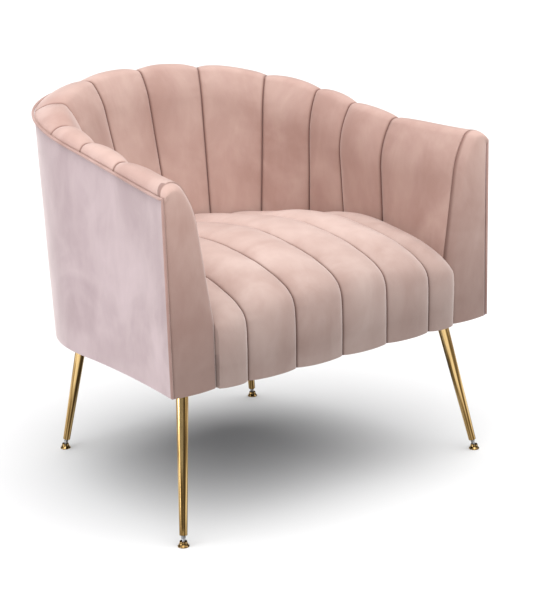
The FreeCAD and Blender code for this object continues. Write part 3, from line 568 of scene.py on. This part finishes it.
def turned(outline):
    """Closed solid spun about z from (radius, height) points that start and end on the axis."""
    bm = bmesh.new()
    verts = [bm.verts.new((radius, 0, height)) for radius, height in outline]
    edges = [bm.edges.new(pair) for pair in zip(verts, verts[1:])]
    bmesh.ops.spin(bm, geom=verts + edges, cent=(0, 0, 0), axis=(0, 0, 1), angle=math.tau,
                   steps=LEG_SIDES, use_merge=True)
    bmesh.ops.remove_doubles(bm, verts=bm.verts[:], dist=1e-6)
    # Direction round the axis, on which the gold lays its painted reflection streaks.
    around = bm.verts.layers.float_vector.new("around")
    for vert in bm.verts:
        turn = math.atan2(vert.co.y, vert.co.x)
        vert[around] = (math.cos(turn), math.sin(turn), vert.co.z * 2.5)
    return bm


def leg(side_name, side, end):
    """Tapered tube leg with a softly rounded lower lip, cut level under its plate."""
    placed, axis = leg_frame(side, end)
    reach = (PLATE_HEIGHT - PIVOT_HEIGHT) / axis.z
    start, low, high = 0.014, 0.0069, 0.0112
    spare = 0.012
    rows = 24
    outline = [(0, start + 0.006), (low - 0.0016, start + 0.006), (low - 0.0016, start),
               (low - 0.0006, start), (low - 0.0001, start + 0.0004)]
    for step in range(rows + 1):
        share = step / rows
        outline.append((low + (high - low) * share, start + 0.001 + (reach + spare - start) * share))
    outline.append((0, outline[-1][1]))
    bm = turned(outline)
    bmesh.ops.transform(bm, matrix=placed, verts=bm.verts[:])
    level = Vector((0, 0, PLATE_HEIGHT - 0.0001))
    cut = bmesh.ops.bisect_plane(bm, geom=bm.verts[:] + bm.edges[:] + bm.faces[:],
                                 plane_co=level, plane_no=(0, 0, 1), clear_outer=True)
    rim = [item for item in cut["geom_cut"] if isinstance(item, bmesh.types.BMEdge)]
    bmesh.ops.edgenet_fill(bm, edges=rim)
    return new_piece(f"leg_{end}_{side_name}_gold", bm, [f"leg_{end}_{side_name}"])


def levelling_foot(side_name, side, end):
    """Bell foot that stands level, with a rounded rim and a socket for the stud's head."""
    base, neck, top = 0.010, 0.0066, 0.0096
    outline = [(0, 0), (base - 0.0006, 0), (base - 0.0002, 0.0002), (base, 0.0007), (base, 0.0016),
               (base - 0.0003, 0.0021), (base - 0.0009, 0.0026)]
    for step in range(1, 9):
        share = step / 8
        bow = 0.0006 * math.sin(math.pi * share)
        outline.append((base - 0.0009 + (neck - base + 0.0009) * share - bow, 0.0026 + 0.0064 * share))
    socket, floor_up = 0.0051, 0.0022
    outline += [(neck - 0.0003, top), (0.0052, top), (socket, 0.0094), (socket, floor_up), (0, floor_up)]
    bm = turned(outline)
    x, y, *_ = LEG_PLACES[end]
    bmesh.ops.translate(bm, vec=(side * x, y, 0), verts=bm.verts[:])
    node = f"levelling_foot_{end}_{side_name}"
    return new_piece(node + "_gold", bm, [node], f"foot_{end}_{side_name}")


def levelling_stud(side_name, side, end):
    """Threaded stud between the foot and the leg, with rounded ridges for its thread."""
    placed, _ = leg_frame(side, end)
    outline = [(0, -0.001), (0.0043, -0.001), (0.0045, -0.0008), (0.0045, 0.0008), (0.0043, 0.001),
               (0.0026, 0.001), (0.0026, 0.008), (0.0034, 0.008)]
    pitch = 0.00125
    ridge = 0.0084
    while ridge < 0.0354:
        outline += [(0.0034, ridge), (0.00395, ridge + pitch / 2)]
        ridge += pitch
    outline += [(0.0034, ridge), (0, ridge)]
    bm = turned(outline)
    bmesh.ops.transform(bm, matrix=placed, verts=bm.verts[:])
    node = f"levelling_stud_{end}_{side_name}"
    return new_piece(node + "_steel", bm, [node], f"stud_{end}_{side_name}", smooth=False)


def plan_points(inset, height, front_y):
    """Points round the shell at one height, inside its hem line, from front to front."""
    forward = TUB_CENTRE_Y - front_y
    half = [SQUARE + forward * (1 - step / 6) for step in range(6)]
    half += [SQUARE * (1 - step / 24) for step in range(24)]
    points = []
    for place, side in [(place, -1) for place in half] + [(0, 1)] + [(place, 1) for place in half[::-1]]:
        station = Station(place, side)
        points.append(station.point(station.hem - inset, height))
    return points


def cloth_under():
    """Black cloth under the ring, drawn tight inside the turned hem."""
    bm = bmesh.new()
    verts = [bm.verts.new(point) for point in plan_points(CLOTH_INSET, CLOTH_HEIGHT, SEAT_BOX_FRONT_Y)]
    bmesh.ops.contextual_create(bm, geom=verts)
    bmesh.ops.triangulate(bm, faces=bm.faces[:])
    area = sum(face.calc_area() for face in bm.faces)
    closed_skin(bm, 0.001, Vector((0, 0, -5)))
    piece = new_piece("dust_cover_cloth", bm, ["dust_cover"], smooth=False)
    return piece


def strap_piece(name, straps, height):
    """Woven straps of one direction, each (low corner, high corner) in plan."""
    bm = bmesh.new()
    for low, high in straps:
        made = bmesh.ops.create_cube(bm, size=1)
        scale = Matrix.Diagonal((high[0] - low[0], high[1] - low[1], STRAP_THICKNESS, 1))
        move = Matrix.Translation(((low[0] + high[0]) / 2, (low[1] + high[1]) / 2, height))
        bmesh.ops.transform(bm, matrix=move @ scale, verts=made["verts"])
    return new_piece(name + "_straps", bm, [name], smooth=False)


def webbing():
    """Straps across and along the top of the seat box."""
    half_width = STRAP_WIDTH / 2
    pitch_across, pitch_back, first_y = 0.084, 0.082, -0.2331
    along = []
    for number in range(-2, 3):
        middle = number * pitch_across
        back = back_of_seat(abs(middle) + half_width) + 0.014
        along.append(((middle - half_width, SEAT_BOX_FRONT_Y), (middle + half_width, back)))
    across = []
    for number in range(5):
        start = first_y + number * pitch_back
        share = max(0, (start + STRAP_WIDTH - TUB_CENTRE_Y) / (FOOT[1] + 0.01)) ** FOOT[2]
        half = (FOOT[0] + 0.01) * (1 - share) ** (1 / FOOT[2])
        across.append(((-half, start), (half, start + STRAP_WIDTH)))
    return [strap_piece("webbing_lengthwise", along, 0.3709),
            strap_piece("webbing_crosswise", across, 0.3724)]


def seat_block():
    """Foam block between the webbing and the seat's channels."""
    def top(across, along):
        point = seat_base((2 * across - 1) * (SEAT_HALF - 0.006), 0.36 + 0.64 * along)
        return point - Vector((0, 0, 0.022))

    bm = grid_on(top, 24, 24)
    rim = [edge for edge in bm.edges if edge.is_boundary]
    grown = bmesh.ops.extrude_edge_only(bm, edges=rim)
    low = [item for item in grown["geom"] if isinstance(item, bmesh.types.BMVert)]
    for vert in low:
        vert.co.z = FOOT_HEIGHT + 0.0005
    bmesh.ops.holes_fill(bm, edges=[edge for edge in bm.edges if edge.is_boundary], sides=0)
    piece = new_piece("seat_foam_block", bm, ["seat_foam"], smooth=False)
    return piece


# Build the upholstery
SIDES = (("left", -1), ("right", 1))
pieces = {"velvet": [], "outer": [], "velvet_piping": [], "gold": [], "stud": [], "dust": [],
          "strap": [], "foam": []}
for side_name, side in SIDES:
    for number, (first, last) in enumerate(zip(SEAM_TURNS, SEAM_TURNS[1:]), start=1):
        pieces["velvet"].append(shell_channel(f"back_channel_{side_name}_{number}", first, last, side))
    pieces["velvet"].append(shell_channel(f"arm_channel_{side_name}", SEAM_TURNS[-1],
                                          SQUARE + BOARD_FORWARD, side, open_end=True))
    pieces["velvet"].append(front_panel(side_name, side))
seat_seams = (-SEAT_HALF, -2 * SEAT_SEAM, -SEAT_SEAM, 0, SEAT_SEAM, 2 * SEAT_SEAM, SEAT_HALF)
for number, (start, end) in enumerate(zip(seat_seams, seat_seams[1:]), start=1):
    pieces["velvet"].append(seat_channel(number, start, end))
pieces["outer"].append(outer_cover())
pieces["velvet_piping"].append(piping())
for end in ("front", "back"):
    for side_name, side in SIDES:
        pieces["gold"].append(leg(side_name, side, end))
        pieces["gold"].append(levelling_foot(side_name, side, end))
        pieces["stud"].append(levelling_stud(side_name, side, end))
pieces["dust"].append(cloth_under())
pieces["strap"] += webbing()
pieces["foam"].append(seat_block())


# Materials
class Wire:
    """A value or link in a material, so that shader maths is written as expressions."""

    def __init__(self, paint, socket):
        self.paint = paint
        self.socket = socket

    def maths(self, kind, one, two):
        return self.paint.node("ShaderNodeMath", {"operation": kind}, {0: one, 1: two})

    def __add__(self, other):
        return self.maths("ADD", self, other)

    def __radd__(self, other):
        return self.maths("ADD", other, self)

    def __mul__(self, other):
        return self.maths("MULTIPLY", self, other)

    def __rmul__(self, other):
        return self.maths("MULTIPLY", other, self)


class Paint:
    """A material under construction: one Principled shader and the nodes that feed it."""

    def __init__(self, name, **settings):
        self.material = bpy.data.materials.new(name)
        self.material.use_nodes = True
        self.tree = self.material.node_tree
        self.shader = self.tree.nodes["Principled BSDF"]
        for socket, value in settings.items():
            self.shader.inputs[socket.replace("_", " ")].default_value = value
        self.place = self.node("ShaderNodeTexCoord", output="Object")

    def node(self, kind, settings=None, inputs=None, output=0):
        """The one place where a node is made: its settings first, then its inputs."""
        made = self.tree.nodes.new(kind)
        for key, value in (settings or {}).items():
            if key == "stops":
                self.set_stops(made.color_ramp, value)
            else:
                setattr(made, key, value)
        for key, value in (inputs or {}).items():
            self.join(value, made.inputs[key])
        return Wire(self, made.outputs[output])

    def set_stops(self, ramp, stops):
        while len(ramp.elements) < len(stops):
            ramp.elements.new(0.5)
        for element, (place, colour) in zip(ramp.elements, stops):
            element.position = place
            element.color = colour if len(colour) == 4 else (*colour, 1)

    def join(self, value, socket):
        if isinstance(value, Wire):
            self.tree.links.new(value.socket, socket)
        else:
            socket.default_value = value

    def noise(self, scale, detail=3.0, rough=0.55, warp=0.0, stretch=(1, 1, 1), shift=(0, 0, 0)):
        """Noise on the piece's own place, stretched along its axes."""
        moved = self.node("ShaderNodeMapping",
                          inputs={"Vector": self.place, "Scale": stretch, "Location": shift})
        return self.node("ShaderNodeTexNoise",
                         inputs={"Vector": moved, "Scale": scale, "Detail": detail, "Roughness": rough,
                                 "Distortion": warp})

    def ramp(self, value, stops):
        return self.node("ShaderNodeValToRGB", {"stops": stops}, {0: value})

    def range(self, value, low, high, start=0.0, end=1.0):
        return self.node("ShaderNodeMapRange", {"clamp": True},
                         {"Value": value, "From Min": low, "From Max": high,
                          "To Min": start, "To Max": end})

    def mix(self, factor, one, two, blend="MIX"):
        return self.node("ShaderNodeMix", {"data_type": "RGBA", "blend_type": blend},
                         {"Factor": factor, "A": one, "B": two}, output="Result")

    def bump(self, height, strength, distance):
        return self.node("ShaderNodeBump", inputs={"Height": height, "Strength": strength,
                                                   "Distance": distance})

    def feed(self, **links):
        for socket, value in links.items():
            self.join(value, self.shader.inputs[socket.replace("_", " ")])
        return self.material


def velvet(name, light, dark, sheen=0.6, low=0.7, top=0.45):
    """Matte velvet whose nap lies in soft patches, with a fine pile and painted shade in the sewn grooves.

    Towards the hem the colour gets painted shade, darkening from the height top down to the share low.
    """
    paint = Paint(name, Roughness=0.92, Specular_IOR_Level=0.1, Sheen_Weight=sheen, Sheen_Roughness=0.38,
                  Sheen_Tint=(1.0, 0.9, 0.87, 1))
    patches = paint.range(paint.noise(5.5, 3, 0.55, 0.9), 0.36, 0.66)
    strokes = paint.range(paint.noise(16, 4, 0.6, 0.4, (1, 1, 0.45), (4, 2, 7)), 0.38, 0.66)
    pile = paint.noise(900, 2, 0.6)
    nap = patches * 0.5 + strokes * 0.33 + pile * 0.17
    colour = paint.ramp(nap, ((0.12, dark), (0.88, light)))
    # Painted shade in the sewn grooves: the mask mixes the colour towards a darker shade.
    groove = paint.node("ShaderNodeAttribute", {"attribute_name": "groove"}, output="Fac")
    shade = [channel * share for channel, share in zip(dark, (0.5, 0.42, 0.4))] + [1]
    colour = paint.mix(groove, colour, tuple(shade))
    # Painted shade: the colour darkens towards the floor, standing in for the shade on the lower fronts.
    height_over_floor = paint.node("ShaderNodeSeparateXYZ", inputs={0: paint.place}, output="Z")
    low_shade = paint.range(height_over_floor, 0.30, top, low, 1.0)
    colour = paint.mix(1.0, colour, low_shade, "MULTIPLY")
    rough = paint.range(nap, 0, 1, 0.96, 0.8)
    height = pile * 0.5 + paint.noise(260, 3, 0.6) * 0.5
    return paint.feed(Base_Color=colour, Roughness=rough, Normal=paint.bump(height, 0.25, 0.0006))


def gold(name):
    """Polished gold-toned plating with painted reflections: long streaks from dark bronze to pale gold
    stand in for the surroundings reflected in it.
    """
    paint = Paint(name, Metallic=1.0)
    around = paint.node("ShaderNodeAttribute", {"attribute_name": "around"}, output="Vector")
    # Painted reflections: streaks round the leg, with a little cloud mixed in, from dark bronze to pale
    # gold.
    reflection_streaks = paint.node("ShaderNodeTexNoise", inputs={"Vector": around, "Scale": 1.9, "Detail": 1.5})
    reflection_cloud = paint.noise(24, 3, 0.6, 0.2, (1, 1, 0.2), (3, 1, 2))
    tone = reflection_streaks * 0.8 + reflection_cloud * 0.2
    colour = paint.ramp(tone, ((0.38, (0.10, 0.058, 0.02, 1)), (0.5, (0.28, 0.17, 0.058, 1)),
                               (0.60, (0.74, 0.52, 0.235, 1))))
    smear = paint.noise(60, 4, 0.65, 0.3, (1, 1, 0.15))
    rough = paint.range(smear, 0.3, 0.75, 0.12, 0.24)
    return paint.feed(Base_Color=colour, Roughness=rough, Normal=paint.bump(smear, 0.04, 0.0002))


def steel(name, colour, metallic, rough):
    """Plain hardware finish with fine grain and slight wear."""
    paint = Paint(name, Metallic=metallic)
    grain = paint.noise(180, 4, 0.6)
    dull = [value * 0.72 for value in colour]
    return paint.feed(Base_Color=paint.ramp(grain, ((0.3, dull), (0.7, colour))),
                      Roughness=paint.range(grain, 0.3, 0.7, rough - 0.08, rough + 0.1),
                      Normal=paint.bump(grain, 0.08, 0.0003))


def wood(name, light, dark, rings):
    """Raw timber: growth rings, pores and a dry surface."""
    paint = Paint(name, Specular_IOR_Level=0.3)
    moved = paint.node("ShaderNodeMapping", inputs={"Vector": paint.place, "Scale": (1, 1, 0.35)})
    grain = paint.node("ShaderNodeTexWave", {"wave_type": "RINGS", "rings_direction": "Z"},
                       {"Vector": moved, "Scale": rings, "Distortion": 6.0, "Detail": 3.0,
                        "Detail Scale": 1.6}, output="Fac")
    pores = paint.noise(260, 4, 0.6, 0, (1, 1, 0.12))
    tone = grain * 0.65 + pores * 0.35
    return paint.feed(Base_Color=paint.ramp(tone, ((0.2, dark), (0.8, light))),
                      Roughness=paint.range(pores, 0.3, 0.7, 0.6, 0.8),
                      Normal=paint.bump(tone, 0.2, 0.0005))


def woven(name, light, dark, thread):
    """Plain weave of warp and weft threads of a given pitch."""
    paint = Paint(name, Roughness=0.9, Specular_IOR_Level=0.15)
    bands = []
    for direction in ("X", "Y"):
        bands.append(paint.node("ShaderNodeTexWave", {"bands_direction": direction},
                                {"Vector": paint.place, "Scale": 0.314 / thread, "Distortion": 0.4},
                                output="Fac"))
    weave = bands[0] * 0.5 + bands[1] * 0.5
    worn = paint.noise(18, 3, 0.6)
    tone = weave * 0.7 + worn * 0.3
    return paint.feed(Base_Color=paint.ramp(tone, ((0.2, dark), (0.8, light))),
                      Normal=paint.bump(weave, 0.4, 0.0004))


def foam(name):
    """Open-celled foam."""
    paint = Paint(name, Roughness=0.95, Specular_IOR_Level=0.1)
    cells = paint.node("ShaderNodeTexVoronoi", inputs={"Vector": paint.place, "Scale": 420.0},
                       output="Distance")
    colour = paint.ramp(cells, ((0.1, (0.62, 0.56, 0.38, 1)), (0.6, (0.82, 0.78, 0.62, 1))))
    return paint.feed(Base_Color=colour, Normal=paint.bump(cells, 0.4, 0.0008))


BLUSH = (0.57, 0.40, 0.35, 1)
BLUSH_DEEP = (0.44, 0.28, 0.24, 1)
finishes = {
    "velvet": velvet("blush_velvet", BLUSH, BLUSH_DEEP),
    # A copy of the velvet for the arm fronts, with stronger painted shade towards the hem.
    "velvet_panel_shaded": velvet("blush_velvet_panel", BLUSH, BLUSH_DEEP, 0.6, 0.5, 0.61),
    # A lighter, paler copy of the velvet for the seat: painted light standing in for the top light on it.
    "velvet_seat_lit": velvet("blush_velvet_seat", (0.59, 0.45, 0.405, 1), (0.47, 0.33, 0.29, 1), 0.75, 0.55),
    # A cooler, greyer copy of the velvet for the outside: painted light standing in for the cool side light
    # and sheen on it.
    "velvet_outer_cool_lit": velvet("blush_velvet_outer", (0.48, 0.38, 0.385, 1), (0.35, 0.265, 0.27, 1), 0.8, 1.0),
    "velvet_piping": velvet("blush_velvet_piping", (0.47, 0.315, 0.28, 1), (0.34, 0.21, 0.18, 1)),
    "base_cloth": woven("black_spun_cloth", (0.03, 0.03, 0.032, 1), (0.008, 0.008, 0.009, 1), 0.0011),
    "webbing": woven("jute_webbing", (0.42, 0.32, 0.20, 1), (0.20, 0.14, 0.08, 1), 0.0025),
    "foam": foam("cream_foam"),
    "plywood": wood("raw_plywood", (0.62, 0.46, 0.28, 1), (0.40, 0.27, 0.15, 1), 22.0),
    "beech": wood("raw_beech", (0.58, 0.40, 0.24, 1), (0.38, 0.24, 0.13, 1), 14.0),
    "leg_brass": gold("gold_leg"),
    "foot_brass": gold("gold_foot"),
    "plate_steel": steel("black_plate", (0.03, 0.03, 0.03), 0.6, 0.45),
    "zinc_steel": steel("zinc_hardware", (0.55, 0.56, 0.58), 1.0, 0.35),
}


def dress(piece, slot, finish=None):
    """Give a piece the finish of one of the record's slots, or a variant of it, such as a velvet copy
    lightened, darkened or cooled as painted light and shade.
    """
    piece.data.materials.clear()
    piece.data.materials.append(finishes[finish or slot])


# The seat takes the lighter velvet copy and the arm fronts the darker one, as painted light and shade.
for piece in pieces["velvet"]:
    if piece.name.startswith("seat"):
        dress(piece, "velvet", "velvet_seat_lit")
    else:
        dress(piece, "velvet", "velvet_panel_shaded" if "panel" in piece.name else "velvet")
for piece in pieces["gold"]:
    dress(piece, "foot_brass" if "foot" in piece.name else "leg_brass")
# The outside takes the cooler velvet copy, as painted light.
for kind, slot, finish in (("outer", "velvet", "velvet_outer_cool_lit"), ("strap", "webbing", "webbing"),
                           ("foam", "foam", "foam"), ("velvet_piping", "velvet_piping", "velvet_piping"),
                           ("stud", "zinc_steel", "zinc_steel"), ("dust", "base_cloth", "base_cloth")):
    for piece in pieces[kind]:
        dress(piece, slot, finish)
for entry in frame["record"]["subparts"]:
    node = frame["nodes"][entry["node"]]
    for place in range(max(1, len(node.material_slots))):
        if not node.material_slots:
            node.data.materials.append(finishes[entry["material_slot"]])
        node.material_slots[place].material = finishes[entry["material_slot"]]


# Floor, light and camera
def floor():
    bm = bmesh.new()
    bmesh.ops.create_grid(bm, x_segments=1, y_segments=1, size=30)
    mesh = bpy.data.meshes.new("floor")
    bm.to_mesh(mesh)
    bm.free()
    ground = bpy.data.objects.new("floor", mesh)
    bpy.context.scene.collection.objects.link(ground)
    paint = Paint("pale_floor", Roughness=0.9, Specular_IOR_Level=0.0)
    ground.data.materials.append(paint.feed(Base_Color=(0.74, 0.74, 0.74, 1)))


def soft_light(name, place, target, width, watts, colour=(1, 1, 1)):
    lamp = bpy.data.lights.new(name, "AREA")
    lamp.shape = "SQUARE"
    lamp.size = width
    lamp.energy = watts
    lamp.color = colour
    holder = bpy.data.objects.new(name, lamp)
    holder.location = place
    holder.rotation_euler = (Vector(target) - Vector(place)).to_track_quat("-Z", "Y").to_euler()
    bpy.context.scene.collection.objects.link(holder)


def camera():
    """Camera at the photograph's angle, with the lens and roll of its perspective."""
    turn, rise, roll = math.radians(-38.3), math.radians(15.1), math.radians(-1.7)
    back = Vector((math.sin(turn) * math.cos(rise), -math.cos(turn) * math.cos(rise), math.sin(rise)))
    right = (-back).cross(Vector((0, 0, 1))).normalized()
    up = right.cross(-back).normalized()
    rolled_right = right * math.cos(roll) + up * math.sin(roll)
    rolled_up = up * math.cos(roll) - right * math.sin(roll)
    lens = bpy.data.cameras.new("camera")
    lens.lens = 100.06
    lens.sensor_width = 36
    holder = bpy.data.objects.new("camera", lens)
    turned_to = Matrix((rolled_right, rolled_up, back)).transposed()
    holder.matrix_world = Matrix.Translation((-1.8205, -2.4032, 1.1152)) @ turned_to.to_4x4()
    bpy.context.scene.collection.objects.link(holder)
    bpy.context.scene.camera = holder


floor()
sun = bpy.data.lights.new("soft_sky", "SUN")
sun.energy = 4.4
sun.angle = math.radians(95)
sky = bpy.data.objects.new("soft_sky", sun)
sky.rotation_euler = Vector((0.08, 0.22, -1)).to_track_quat("-Z", "Y").to_euler()
bpy.context.scene.collection.objects.link(sky)
soft_light("cool_fill", (-2.7, 0.35, 0.5), (-0.35, 0, 0.42), 1.0, 22, (0.86, 0.90, 1.0))
camera()
world = bpy.data.worlds.new("room")
bpy.context.scene.world = world
world.use_nodes = True
world.node_tree.nodes["Background"].inputs["Color"].default_value = (1, 1, 1, 1)
world.node_tree.nodes["Background"].inputs["Strength"].default_value = 0.30
bpy.context.scene.view_settings.view_transform = "Standard"
